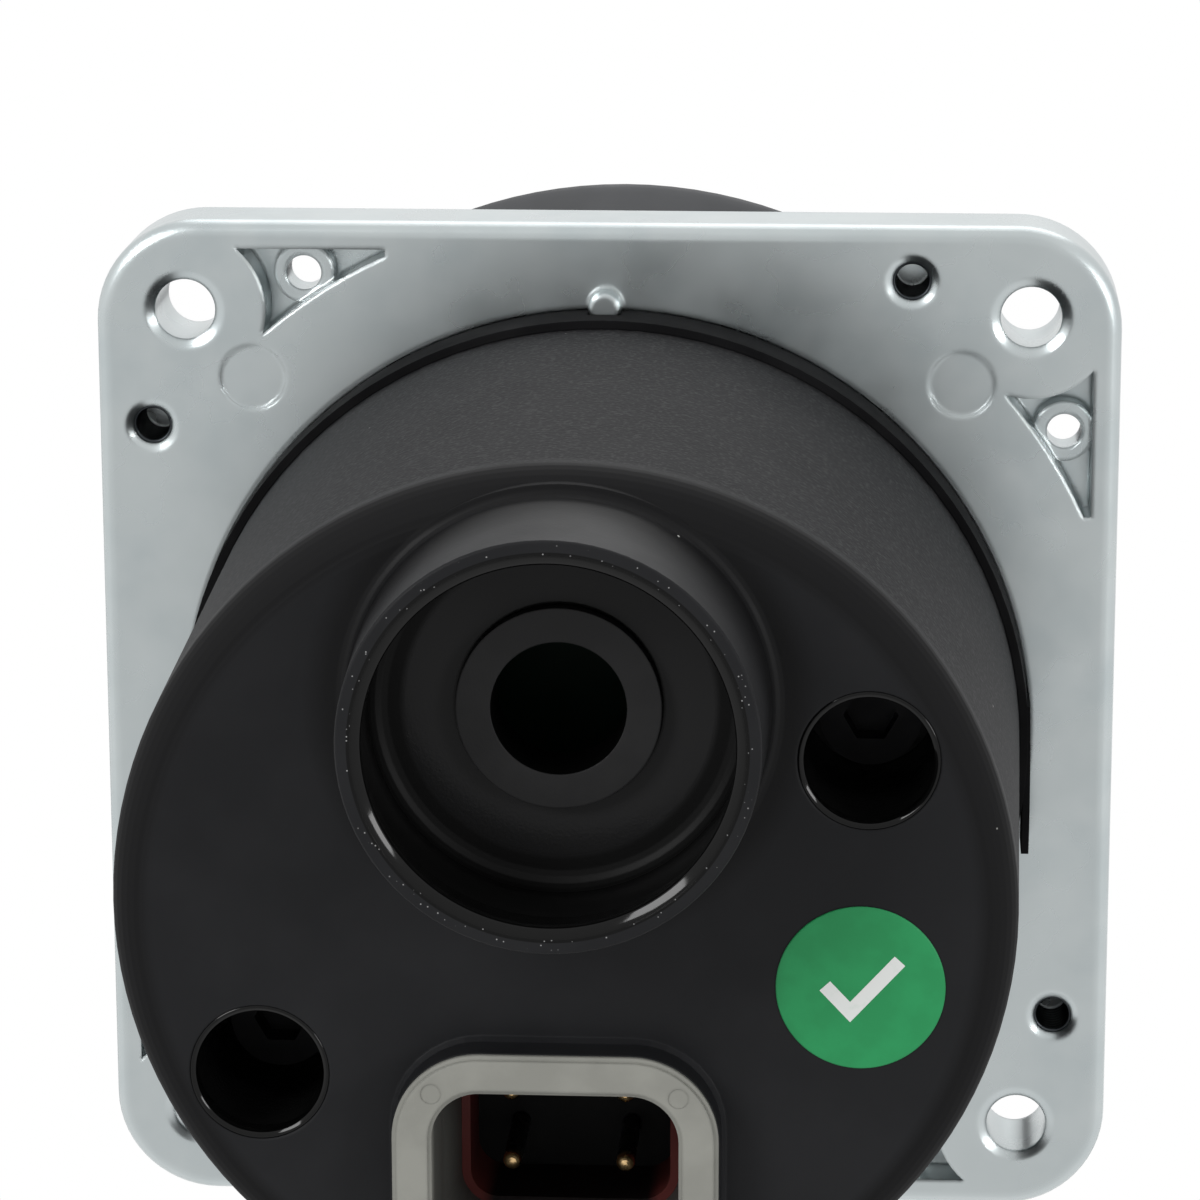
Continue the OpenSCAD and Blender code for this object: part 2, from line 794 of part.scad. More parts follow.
module gimbal_frame() {
    color([0.55, 0.56, 0.58]) difference() {
        union() {
            translate([0, 0, frame_z]) linear_extrude(seat_depth - frame_z) frame_outline();
            for (s = [-1, 1]) {
                rod_x(ear_r, s > 0 ? ear_in : -ear_out, s > 0 ? ear_out : -ear_in);
                translate([s > 0 ? ear_in : -ear_out, -ear_half, pivot_z])
                    cube([ear_t, 2 * ear_half, -pivot_z + frame_z + 1]);
            }
            along_x()
                spring_post(fixed_post_at, ear_in, ear_out, ear_out - 1, ear_out + arm_in - side_gap);
        }
        rod_x(pivot_pin_r + bush_wall + press_gap, -ear_out - 1, ear_out + 1);
        translate([-arm_r - 4, ring_out_r - 3, frame_z - 1])
            cube([2 * arm_r + 8, 20, frame_relief - frame_z + 1]);
    }
}

// Flat outline of the frame's flange, with a rounded lug for each screw
module frame_outline() {
    lug_r = frame_screw_head_r + 0.6;
    difference() {
        union() {
            circle(frame_r);
            at_frame_screws() circle(lug_r);
            for (a = frame_screw_angles) rotate([0, 0, a])
                translate([0, -lug_r + 0.4]) square([frame_screw_at, 2 * lug_r - 0.8]);
        }
        circle(frame_opening_r);
        at_frame_screws() circle(frame_screw_r + 0.2);
    }
}

module frame_screws() {
    color([0.62, 0.62, 0.64]) at_frame_screws()
        cap_screw_up(
            frame_screw_r, frame_screw_head_r, frame_screw_head_h,
            frame_z - frame_screw_head_h, frame_screw_tip_z, 1.2
        );
}

module frame_bushes() {
    color([0.72, 0.55, 0.28]) for (s = [-1, 1]) difference() {
        union() {
            rod_x(pivot_pin_r + bush_wall, s > 0 ? ear_in : -ear_out, s > 0 ? ear_out : -ear_in);
            rod_x(
                pivot_pin_r + bush_wall + 1,
                s > 0 ? ear_in - bush_flange : -ear_in, s > 0 ? ear_in : -ear_in + bush_flange
            );
        }
        rod_x(pivot_pin_r + running_gap, -ear_out - 1, ear_out + 1);
    }
}

module gimbal_ring() {
    color([0.5, 0.51, 0.53]) difference() {
        union() {
            tube(ring_out_r, ring_r, pivot_z - ring_h / 2, pivot_z + ring_h / 2);
            rod_x(ring_boss_r, -ring_face, ring_face);
            rod_y(ring_boss_r, -ring_face, ring_face);
            along_y() spring_post(
                fixed_post_at, ring_face - 3, ring_face, ring_face - 1, ring_face + arm_in - side_gap
            );
        }
        intersection() {
            rod(ring_r, pivot_z - 20, pivot_z + 20);
            translate([-20, -hub_bush_in - bush_flange, pivot_z - 20])
                cube([40, 2 * (hub_bush_in + bush_flange), 40]);
        }
        rod_x(pivot_pin_r + press_gap, -ring_face - 1, ring_face + 1);
        rod_y(pivot_pin_r + bush_wall + press_gap, -ring_face - 1, ring_face + 1);
    }
}

module ring_pins() {
    color([0.75, 0.76, 0.78]) {
        rod_x(pivot_pin_r, -ear_out, -ring_r - 0.5);
        rod_x(pivot_pin_r, ring_r + 0.5, ear_out + arm_in + arm_t + 0.4);
    }
}

module hub_bushes() {
    color([0.72, 0.55, 0.28]) for (s = [-1, 1]) difference() {
        union() {
            rod_y(
                pivot_pin_r + bush_wall,
                s > 0 ? hub_bush_in : -ring_face, s > 0 ? ring_face : -hub_bush_in
            );
            rod_y(
                pivot_pin_r + bush_wall + 1,
                s > 0 ? hub_bush_in : -hub_bush_in - bush_flange,
                s > 0 ? hub_bush_in + bush_flange : -hub_bush_in
            );
        }
        rod_y(pivot_pin_r + running_gap, -ring_face - 1, ring_face + 1);
    }
}

// Coil along +Z from z0, its two legs running out along -Y each side of the posts
function spring_path(z0) =
    let (
        half = asin(leg_off / coil_r),
        sweep = 360 * spring_turns - 2 * half,
        steps = 14 * spring_turns,
        coil = [for (i = [0:steps])
            let (a = -90 + half + sweep * i / steps)
            [coil_r * cos(a), coil_r * sin(a), z0 + coil_l * i / steps]]
    )
    concat([[leg_off, -leg_end, z0]], coil, [[-leg_off, -leg_end, z0 + coil_l]]);

module centring_spring(z0) {
    color([0.6, 0.61, 0.63]) swept_wire(spring_path(z0), [0, 0, 1], wire_r);
}

module ring_spring() {
    along_x() centring_spring(ear_out + coil_in);
}

module lever_spring() {
    along_y() centring_spring(ring_face + coil_in);
}

// Arm that is pressed on the end of a pivot pin, its post reaching back between the legs
module spring_arm(z0) {
    color([0.45, 0.46, 0.48]) difference() {
        union() {
            rod(arm_r, z0 + arm_in, z0 + arm_in + arm_t);
            spring_post(
                moving_post_at, z0 + arm_in, z0 + arm_in + arm_t,
                z0 + side_gap, z0 + arm_in + arm_t
            );
        }
        rod(pivot_pin_r + press_gap, z0, z0 + 20);
    }
}

module ring_spring_arm() {
    along_x() spring_arm(ear_out);
}

module lever_spring_arm() {
    along_y() spring_arm(ring_face);
}

// ---------------------------------------------------------------- lever

module lever_hub() {
    color([0.66, 0.67, 0.69]) difference() {
        union() {
            rod(hub_r, hub_low_z, hub_top_z);
            rod_y(ring_boss_r, -hub_face, hub_face);
        }
        rod(stub_r + press_gap, hub_low_z - 1, hub_top_z + 1);
        rod_y(pivot_pin_r + press_gap, -hub_face - 1, hub_face + 1);
    }
}

module hub_pin() {
    color([0.75, 0.76, 0.78]) rod_y(pivot_pin_r, -ring_face, ring_face + arm_in + arm_t + 0.4);
}

module lever_shaft() {
    color([0.78, 0.79, 0.8]) difference() {
        union() {
            rod(stub_r, stub_end_z, hub_top_z + 1);
            rod(shaft_r, hub_top_z, shaft_top_z - 1);
            translate([0, 0, shaft_top_z - 1]) cylinder(r1 = shaft_r, r2 = shaft_r - 1, h = 1);
        }
        rod_y(pivot_pin_r + press_gap, -20, 20);
    }
}

module magnet_holder() {
    color([0.16, 0.16, 0.17]) difference() {
        rod(holder_r, holder_z, hub_low_z);
        rod(magnet_r + press_gap, holder_z - 1, holder_z + magnet_h);
        rod(stub_r + press_gap, stub_end_z, 0);
    }
}

module magnet() {
    color([0.7, 0.7, 0.72]) rod(magnet_r, holder_z, holder_z + magnet_h);
}

module lock_nut() {
    z0 = grip_z - washer_t - nut_h;
    r = nut_flats / 2 / cos(30);
    color([0.72, 0.73, 0.75]) difference() {
        intersection() {
            translate([0, 0, z0]) cylinder(r = r, h = nut_h, $fn = 6);
            rotate_extrude() polygon([
                [0, z0], [nut_flats / 2, z0], [r + 0.1, z0 + 0.9],
                [r + 0.1, z0 + nut_h - 0.9], [nut_flats / 2, z0 + nut_h], [0, z0 + nut_h]
            ]);
        }
        rod(shaft_r + press_gap, z0 - 1, z0 + nut_h + 1);
    }
}

module grip_washer() {
    color([0.72, 0.73, 0.75])
        tube(nut_flats / 2 + 1, shaft_r + slip_gap, grip_z - washer_t, grip_z);
}

// ---------------------------------------------------------------- grip

grip_flare = 3.8;
function grip_r(t) = grip_waist_r + grip_swell * pow(sin(180 * t), 2) + grip_flare * exp(-16 * t);

module grip_form(inset = 0) {
    steps = 28;
    rotate_extrude() polygon(concat(
        [[0, grip_z]],
        [for (i = [0:steps]) [grip_r(i / steps) - inset, grip_z + grip_l * i / steps]],
        [[0, grip_z + grip_l]]
    ));
}

// Shallow round hollows for the fingers, on the side away from the operator
module finger_hollows() {
    tube_r = 11;
    back = 8;
    for (i = [0:3]) {
        t = 0.2 + 0.2 * i;
        reach = back + grip_r(t) - 1.3;
        translate([0, back, grip_z + grip_l * t]) rotate_extrude()
            translate([reach + tube_r, 0]) circle(tube_r);
    }
}

grip_screw_y = 10.3;
grip_screw_levels = [0.2, 0.82];
grip_screw_r = 1.5;
grip_head_r = 2.8;

module at_grip_screws() {
    for (y = [-1, 1], t = grip_screw_levels)
        translate([0, y * grip_screw_y, grip_z + grip_l * t]) rotate([0, 90, 0]) children();
}

grip_rib_t = 3;
grip_rib_levels = [0, 0.3, 0.52];

module grip_inside() {
    difference() {
        grip_form(grip_wall);
        for (t = grip_rib_levels)
            translate([0, 0, grip_z + grip_l * t - 1]) rod(30, 0, grip_rib_t + 1);
        at_grip_screws() rod(grip_head_r + 1, -30, 30);
    }
}

// Depth at which the screw heads sit, from the parting plane
grip_head_x = 9;

module grip_solid() {
    difference() {
        grip_form();
        grip_inside();
        finger_hollows();
        rod(shaft_r + press_gap, grip_z - 1, grip_z + grip_l + 1);
        at_grip_screws() rod(grip_head_r + 0.1, grip_head_x, 30);
        at_grip_screws() rod(grip_screw_r + 0.1, -grip_head_x, grip_head_x + 1);
    }
}

// Half of the gap at the parting plane, and a length beyond the grip's widest point
grip_part_gap = 0.02;
grip_reach = 2 * grip_waist_r + grip_swell;

module grip_half(side) {
    color([0.12, 0.12, 0.13]) intersection() {
        grip_solid();
        translate([side > 0 ? grip_part_gap : -grip_part_gap - grip_reach, -grip_reach, grip_z])
            cube([grip_reach, 2 * grip_reach, grip_l]);
    }
}

module grip_shell_left() {
    grip_half(-1);
}

module grip_shell_right() {
    grip_half(1);
}

module grip_screws() {
    color([0.3, 0.3, 0.31]) at_grip_screws() difference() {
        union() {
            rod(grip_screw_r, 1 - grip_head_x, grip_head_x + eps);
            rod(grip_head_r, grip_head_x, grip_head_x + 2);
        }
        translate([0, 0, grip_head_x + 0.8]) cylinder(r = 1.5, h = 2, $fn = 6);
    }
}

module grip_cap() {
    rim_r = grip_r(1);
    bore_r = rim_r - grip_wall - slip_gap;
    drop = 4;
    color([0.1, 0.1, 0.11]) rotate_extrude() polygon(concat(
        [[0, cap_z - drop], [bore_r, cap_z - drop], [bore_r, cap_z], [rim_r, cap_z]],
        [for (i = [0:10]) [rim_r * cos(9 * i), cap_z + 1.2 + (cap_h - 1.2) * sin(9 * i)]]
    ));
}

// ---------------------------------------------------------------- boot

// Outer radius of the bellows at height z
function fold_share(z) = (z - fold_z) / fold_pitch;
function bellows_r(z) =
    boot_env_r - fold_taper * fold_share(z) + fold_amp * cos(360 * fold_share(z));

bellows_low_z = fold_z - fold_pitch / 2;
bellows_high_z = last_fold_z + fold_pitch / 2 - 1.5;
function boot_outer() = concat(
    [[boot_base_r, clamp_z], [boot_base_r, bellows_low_z - 3]],
    [for (i = [0:12 * fold_count - 2])
        let (z = bellows_low_z + fold_pitch * i / 12) if (z < bellows_high_z) [bellows_r(z), z]],
    [[neck_r + 2, neck_z - 1.5], [neck_r, neck_z], [neck_r, neck_z + neck_l]]
);

module boot() {
    outer = boot_outer();
    last = len(outer) - 1;
    color([0.1, 0.1, 0.1]) difference() {
        rotate_extrude() polygon(concat(
            [[boot_base_r - boot_wall, plate_t], [boot_flange_r, plate_t], [boot_flange_r, clamp_z]],
            outer,
            [[shaft_r + side_gap, neck_z + neck_l], [shaft_r + side_gap, neck_z]],
            [for (i = [last - 2:-1:1]) [outer[i][0] - boot_wall, outer[i][1] - 0.4]]
        ));
        at_clamp_screws() rod(clamp_screw_r + side_gap, plate_t - 1, clamp_z + 1);
    }
}

module boot_clamp_ring() {
    edge = 0.6;
    in_r = boot_base_r + side_gap;
    out_r = boot_flange_r + 1;
    color([0.15, 0.15, 0.16]) difference() {
        rotate_extrude() polygon([
            [in_r, clamp_z], [out_r, clamp_z], [out_r, clamp_top_z - edge],
            [out_r - edge, clamp_top_z], [in_r + edge, clamp_top_z], [in_r, clamp_top_z - edge]
        ]);
        at_clamp_screws() rod(clamp_screw_r + 0.2, clamp_z - 1, clamp_top_z + 1);
    }
}

module clamp_screws() {
    color([0.5, 0.5, 0.52]) at_clamp_screws() difference() {
        union() {
            rod(clamp_screw_r, clamp_screw_tip_z, clamp_top_z + eps);
            rod(clamp_screw_head_r, clamp_top_z, clamp_top_z + clamp_screw_head_h);
        }
        translate([0, 0, clamp_top_z + 0.9]) cylinder(r = 1.3, h = 2, $fn = 6);
    }
}

module boot_collar() {
    color([0.2, 0.2, 0.21])
        tube(
            neck_r + side_gap + collar_t, neck_r + side_gap,
            neck_z + collar_rise, neck_z + collar_rise + collar_l
        );
}

mounting_plate();
housing();
panel_seal_strip();
housing_seal();
housing_screws();
cable_bush();
connector_shroud();
connector_seal();
connector_insert();
connector_pins();
circuit_board();
board_screws();
hall_sensors();
board_chips();
inspection_sticker();
gimbal_frame();
frame_screws();
frame_bushes();
ring_spring();
boot_clamp_ring();
clamp_screws();
boot();
gimbal_ring();
ring_pins();
ring_spring_arm();
hub_bushes();
lever_spring();
lever_hub();
hub_pin();
lever_spring_arm();
lever_shaft();
magnet_holder();
magnet();
boot_collar();
lock_nut();
grip_washer();
grip_shell_left();
grip_shell_right();
grip_screws();
grip_cap();
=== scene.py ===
"""Two-axis industrial joystick, seen from below its mounting plate.

Lengths are in metres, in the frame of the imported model: +Z runs up the lever, and +Y points to
the side of the electrical connector.
"""

import json
import math

import bmesh
import bpy
from mathutils import Matrix, Vector


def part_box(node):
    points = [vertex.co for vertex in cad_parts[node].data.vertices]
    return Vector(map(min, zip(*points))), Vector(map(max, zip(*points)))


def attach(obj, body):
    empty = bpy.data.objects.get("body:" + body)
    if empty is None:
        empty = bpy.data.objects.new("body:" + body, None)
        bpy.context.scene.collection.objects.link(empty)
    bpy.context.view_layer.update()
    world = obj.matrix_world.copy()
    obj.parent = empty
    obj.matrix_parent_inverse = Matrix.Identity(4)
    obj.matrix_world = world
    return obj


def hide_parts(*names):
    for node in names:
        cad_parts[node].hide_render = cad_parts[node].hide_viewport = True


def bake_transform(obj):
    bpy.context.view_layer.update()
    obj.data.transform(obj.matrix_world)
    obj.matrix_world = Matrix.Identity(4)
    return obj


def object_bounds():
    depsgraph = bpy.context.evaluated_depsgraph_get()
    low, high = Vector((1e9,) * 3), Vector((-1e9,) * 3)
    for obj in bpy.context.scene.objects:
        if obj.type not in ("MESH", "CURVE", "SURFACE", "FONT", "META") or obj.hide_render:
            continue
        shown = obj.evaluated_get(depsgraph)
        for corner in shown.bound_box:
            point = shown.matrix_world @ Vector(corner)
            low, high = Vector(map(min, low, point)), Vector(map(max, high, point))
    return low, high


MM = 0.001

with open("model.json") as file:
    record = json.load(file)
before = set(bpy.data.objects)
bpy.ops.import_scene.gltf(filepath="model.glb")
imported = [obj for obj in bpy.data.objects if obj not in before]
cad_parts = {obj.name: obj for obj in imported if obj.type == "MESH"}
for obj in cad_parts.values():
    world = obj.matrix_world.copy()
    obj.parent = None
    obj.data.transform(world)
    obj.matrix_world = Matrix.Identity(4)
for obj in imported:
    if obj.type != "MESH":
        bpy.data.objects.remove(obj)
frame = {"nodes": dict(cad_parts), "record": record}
nodes = frame["nodes"]
cad_low, cad_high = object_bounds()


# ---------------------------------------------------------------- camera

CAMERA_PLACE = Vector((27.39, -120.75, -438.26)) * MM
CAMERA_AHEAD = Vector((-0.0618, 0.2407, 0.9686)).normalized()
CAMERA_RIGHT = Vector((0.998, 0.002, 0.0631))

# Focal length and width of the sensor, in millimetres.
CAMERA_LENS = 146.56
CAMERA_SENSOR = 36


def add_camera():
    """The camera stands below the plate and looks up along the lever."""
    data = bpy.data.cameras.new("camera")
    data.lens = CAMERA_LENS
    data.sensor_width = CAMERA_SENSOR
    data.clip_start = 0.01
    data.clip_end = 50
    camera = bpy.data.objects.new("camera", data)
    up = CAMERA_RIGHT.cross(CAMERA_AHEAD).normalized()
    right = CAMERA_AHEAD.cross(up)
    turn = Matrix((right, up, -CAMERA_AHEAD)).transposed()
    camera.matrix_world = Matrix.Translation(CAMERA_PLACE) @ turn.to_4x4()
    bpy.context.scene.collection.objects.link(camera)
    bpy.context.scene.camera = camera


# ---------------------------------------------------------------- nodes of a shader

def feed(tree, value, socket):
    """Links another node's output to a socket, or sets the socket to a number."""
    if isinstance(value, bpy.types.NodeSocket):
        tree.links.new(value, socket)
    else:
        socket.default_value = value


def calculate(tree, operation, first, second):
    """Result of one sum, each of whose two terms is a number or another node's output."""
    node = tree.nodes.new("ShaderNodeMath")
    node.operation = operation
    feed(tree, first, node.inputs[0])
    feed(tree, second, node.inputs[1])
    return node.outputs[0]


def remap(tree, value, low, high, to_low, to_high):
    """Carries the stretch from low to high over to another one, and stops at its ends."""
    node = tree.nodes.new("ShaderNodeMapRange")
    node.inputs["From Min"].default_value = low
    node.inputs["From Max"].default_value = high
    node.inputs["To Min"].default_value = to_low
    node.inputs["To Max"].default_value = to_high
    tree.links.new(value, node.inputs["Value"])
    return node.outputs["Result"]


def mix_shaders(tree, factor, first, second):
    """The first shader where the factor is 0, and the second where it is 1."""
    node = tree.nodes.new("ShaderNodeMixShader")
    tree.links.new(factor, node.inputs["Fac"])
    tree.links.new(first, node.inputs[1])
    tree.links.new(second, node.inputs[2])
    return node.outputs[0]


# ---------------------------------------------------------------- light and floor

LAMPS = {
    # name: (place, size, power in watts)
    "lamp_left": ((-0.60, -0.50, -0.66), 0.33, 4.4),
    "lamp_right": ((0.80, -0.21, -0.67), 0.24, 2.4),
    "lamp_above": ((0.10, -0.80, 0.60), 0.80, 2.5),
}
LAMP_TARGET = Vector((0, 0, -0.02))

# Strength of the world as a fill light, and as metal and glass see it below.
WORLD_FILL = 0.55
WORLD_BELOW = 0.80

# Rise of a ray, from -1 straight down to 1 straight up, at which metal and glass see the world
# at its strength below, and at full strength.
WORLD_DIM_RISE = -0.95
WORLD_FULL_RISE = -0.35

FLOOR_HALF = 2.5
FLOOR_COLOR = (0.84, 0.84, 0.84, 1)


def add_lamp(name, place, size, power):
    """Square soft lamp that faces the part."""
    data = bpy.data.lights.new(name, "AREA")
    data.shape = "SQUARE"
    data.size = size
    data.energy = power
    lamp = bpy.data.objects.new(name, data)
    lamp.location = place
    lamp.rotation_euler = (LAMP_TARGET - Vector(place)).to_track_quat("-Z", "Y").to_euler()
    bpy.context.scene.collection.objects.link(lamp)


def add_world():
    """Pale studio: white where the camera, metal or glass sees it, and a softer fill for the rest."""
    world = bpy.data.worlds.new("studio")
    bpy.context.scene.world = world
    world.use_nodes = True
    tree = world.node_tree
    tree.nodes.clear()

    def background(strength):
        node = tree.nodes.new("ShaderNodeBackground")
        node.inputs["Color"].default_value = (1, 1, 1, 1)
        feed(tree, strength, node.inputs["Strength"])
        return node.outputs[0]

    path = tree.nodes.new("ShaderNodeLightPath")
    place = tree.nodes.new("ShaderNodeTexCoord")
    split = tree.nodes.new("ShaderNodeSeparateXYZ")
    tree.links.new(place.outputs["Generated"], split.inputs[0])
    strength = remap(tree, split.outputs["Z"], WORLD_DIM_RISE, WORLD_FULL_RISE, WORLD_BELOW, 1.0)
    glossy, through = path.outputs["Is Glossy Ray"], path.outputs["Is Transmission Ray"]
    bounce = mix_shaders(
        tree, calculate(tree, "MAXIMUM", glossy, through), background(WORLD_FILL), background(strength)
    )
    seen = mix_shaders(tree, path.outputs["Is Camera Ray"], bounce, background(1.0))
    out = tree.nodes.new("ShaderNodeOutputWorld")
    tree.links.new(seen, out.inputs["Surface"])


def add_floor():
    """Pale floor under the part, which only the camera sees, and only from above."""
    corners = ((-1, -1), (1, -1), (1, 1), (-1, 1))
    mesh = bpy.data.meshes.new("floor")
    mesh.from_pydata([(FLOOR_HALF * x, FLOOR_HALF * y, cad_low.z) for x, y in corners], [], [(0, 1, 2, 3)])
    floor = bpy.data.objects.new("floor", mesh)
    bpy.context.scene.collection.objects.link(floor)
    material = bpy.data.materials.new("floor")
    material.use_nodes = True
    tree = material.node_tree
    paint = tree.nodes["Principled BSDF"]
    paint.inputs["Base Color"].default_value = FLOOR_COLOR
    paint.inputs["Roughness"].default_value = 0.6
    clear = tree.nodes.new("ShaderNodeBsdfTransparent")
    geometry = tree.nodes.new("ShaderNodeNewGeometry")
    path = tree.nodes.new("ShaderNodeLightPath")
    from_above = calculate(tree, "SUBTRACT", 1, geometry.outputs["Backfacing"])
    seen = calculate(tree, "MULTIPLY", from_above, path.outputs["Is Camera Ray"])
    surface = mix_shaders(tree, seen, clear.outputs[0], paint.outputs[0])
    tree.links.new(surface, tree.nodes["Material Output"].inputs["Surface"])
    mesh.materials.append(material)


# ---------------------------------------------------------------- places the finishes follow

# Rear face of the housing, and the radius at which it starts to round over to the side.
REAR_Z = -60 * MM
REAR_EDGE_R = 33.7 * MM

# Cup of the cable port; the cable bush stands proud of its floor.
CUP_R = 15.4 * MM
BUSH_PROUD = 1.2 * MM
BUSH_R = 8.3 * MM

# Wells of the housing screws, by their bore and with their rolled mouths.
WELL_BORE_R = 5.55 * MM
WELL_R = 5.62 * MM
SCREW_HEAD_R = 4.25 * MM


def cup_axis():
    """Place (x, y) of the middle of the cable port."""
    low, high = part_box("cable_bush")
    return (low.x + high.x) / 2, (low.y + high.y) / 2


def well_axes():
    """Places (x, y) of the two wells, which lie opposite each other; the right one is first."""
    low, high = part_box("housing_screws")
    x, y = high.x - SCREW_HEAD_R, low.y + SCREW_HEAD_R
    return (x, y), (-x, -y)


# ---------------------------------------------------------------- materials

# Width of a mask's edge that is as good as sharp, where the mask comes from a value from 0 to 1.
SHARP = 0.001

# Most of a noise lies between these two values.
NOISE_LOW = 0.35
NOISE_HIGH = 0.65


class Finish:
    """A Principled material and the few nodes that give it grain, wear and dust.

    A mask is a node's output that is 1 where something holds and 0 elsewhere.
    """

    def __init__(self, name, color, rough, metal=0.0, specular=0.5):
        self.material = bpy.data.materials.new(name)
        self.material.use_nodes = True
        self.tree = self.material.node_tree
        self.shader = self.tree.nodes["Principled BSDF"]
        self.color = color
        self.shader.inputs["Base Color"].default_value = (*color, 1)
        self.shader.inputs["Roughness"].default_value = rough
        self.shader.inputs["Metallic"].default_value = metal
        self.shader.inputs["Specular IOR Level"].default_value = specular
        self.place = self.tree.nodes.new("ShaderNodeTexCoord").outputs["Object"]
        self.normal = None
        self.last_color = None
        self.last_rough = None

    def noise(self, size, detail=3.0):
        """Noise whose features are about size metres across, from 0 to 1."""
        node = self.tree.nodes.new("ShaderNodeTexNoise")
        node.inputs["Scale"].default_value = 1 / size
        node.inputs["Detail"].default_value = detail
        self.tree.links.new(self.place, node.inputs["Vector"])
        return node.outputs["Fac"]

    def cells(self, size, feature="F1"):
        """A random grid whose cells are about size metres across."""
        node = self.tree.nodes.new("ShaderNodeTexVoronoi")
        node.feature = feature
        node.inputs["Scale"].default_value = 1 / size
        self.tree.links.new(self.place, node.inputs["Vector"])
        return node.outputs

    def map(self, value, low, high, to_low=0, to_high=1):
        return remap(self.tree, value, low, high, to_low, to_high)

    def along(self, axis="Z"):
        """Place along one axis, in metres."""
        split = self.tree.nodes.new("ShaderNodeSeparateXYZ")
        self.tree.links.new(self.place, split.inputs[0])
        return split.outputs[axis]

    def distance(self, axis):
        """Distance from an upright axis through a point (x, y)."""
        flat = self.tree.nodes.new("ShaderNodeVectorMath")
        flat.operation = "MULTIPLY"
        flat.inputs[1].default_value = (1, 1, 0)
        self.tree.links.new(self.place, flat.inputs[0])
        away = self.tree.nodes.new("ShaderNodeVectorMath")
        away.operation = "DISTANCE"
        away.inputs[1].default_value = (*axis, 0)
        self.tree.links.new(flat.outputs[0], away.inputs[0])
        return away.outputs["Value"]

    def above(self, value, edge, soft=0.1 * MM):
        """Mask of the values over an edge, which is blurred by soft on each side."""
        return self.map(value, edge - soft, edge + soft)

    def below(self, value, edge, soft=0.1 * MM):
        """Mask of the values under an edge, which is blurred by soft on each side."""
        return self.map(value, edge - soft, edge + soft, 1, 0)

    def all_of(self, mask, *others):
        """Where all of these masks hold together."""
        for other in others:
            mask = calculate(self.tree, "MULTIPLY", mask, other)
        return mask

    def vary_roughness(self, size, low, high):
        """Patches of more and less shine, about size metres across."""
        self.last_rough = self.map(self.noise(size, 4.0), NOISE_LOW, NOISE_HIGH, low, high)
        self.tree.links.new(self.last_rough, self.shader.inputs["Roughness"])
        return self

    def roughen(self, mask, rough):
        """Gives the masked part a roughness of its own. Follows vary_roughness."""
        node = self.tree.nodes.new("ShaderNodeMix")
        self.tree.links.new(mask, node.inputs["Factor"])
        self.tree.links.new(self.last_rough, node.inputs["A"])
        node.inputs["B"].default_value = rough
        self.last_rough = node.outputs["Result"]
        self.tree.links.new(self.last_rough, self.shader.inputs["Roughness"])
        return self

    def tint(self, mask, other):
        """Mixes the colour so far with another one."""
        node = self.tree.nodes.new("ShaderNodeMix")
        node.data_type = "RGBA"
        self.tree.links.new(mask, node.inputs["Factor"])
        if self.last_color is None:
            node.inputs["A"].default_value = (*self.color, 1)
        else:
            self.tree.links.new(self.last_color, node.inputs["A"])
        node.inputs["B"].default_value = (*other, 1)
        self.last_color = node.outputs["Result"]
        self.tree.links.new(self.last_color, self.shader.inputs["Base Color"])
        return self

    def coat(self, mask, color, rough):
        """Gives the masked part a colour and a roughness of its own."""
        return self.tint(mask, color).roughen(mask, rough)

    def mottle(self, size, other, low=0.42, high=0.62, detail=4.0):
        """Patches of another colour, about size metres across."""
        return self.tint(self.map(self.noise(size, detail), low, high), other)

    def bump(self, height, depth, strength=1.0):
        """Relief depth metres deep, on top of the relief so far."""
        node = self.tree.nodes.new("ShaderNodeBump")
        node.inputs["Strength"].default_value = strength
        node.inputs["Distance"].default_value = depth
        self.tree.links.new(height, node.inputs["Height"])
        if self.normal is not None:
            self.tree.links.new(self.normal, node.inputs["Normal"])
        self.normal = node.outputs["Normal"]
        self.tree.links.new(self.normal, self.shader.inputs["Normal"])
        return self

    def grain(self, size, depth):
        """Even relief of fine noise."""
        return self.bump(self.noise(size), depth)

    def soft_edges(self, radius):
        """Rounds the shading of sharp edges, as a moulded or cast edge is. Comes before any relief."""
        node = self.tree.nodes.new("ShaderNodeBevel")
        node.samples = 4
        node.inputs["Radius"].default_value = radius
        self.normal = node.outputs["Normal"]
        self.tree.links.new(self.normal, self.shader.inputs["Normal"])
        return self

    def dust(self, spacing, share, color=(0.5, 0.5, 0.48), size=0.04, where=None):
        """Pale specks in a share of the cells of a random grid; a speck's size is in cells."""
        cells = self.cells(spacing)
        near = self.map(cells["Distance"], 0.75 * size, 1.25 * size, 1, 0)
        pick = self.tree.nodes.new("ShaderNodeSeparateColor")
        self.tree.links.new(cells["Color"], pick.inputs["Color"])
        chosen = self.map(pick.outputs["Red"], 1 - share, 1 - share + SHARP)
        speck = self.all_of(near, chosen)
        return self.tint(speck if where is None else self.all_of(speck, where), color)


def cast_alloy():
    """Blasted die casting with a faint blue passivation, stained a little by handling."""
    finish = Finish("cast_alloy", (0.53, 0.575, 0.58), 0.30, metal=1.0)
    finish.soft_edges(0.6 * MM)
    finish.mottle(14 * MM, (0.49, 0.54, 0.55))
    finish.mottle(5 * MM, (0.555, 0.598, 0.603), 0.35, 0.75, 2.0)
    finish.vary_roughness(9 * MM, 0.25, 0.33)
    return finish.grain(0.50 * MM, 0.0008 * MM)


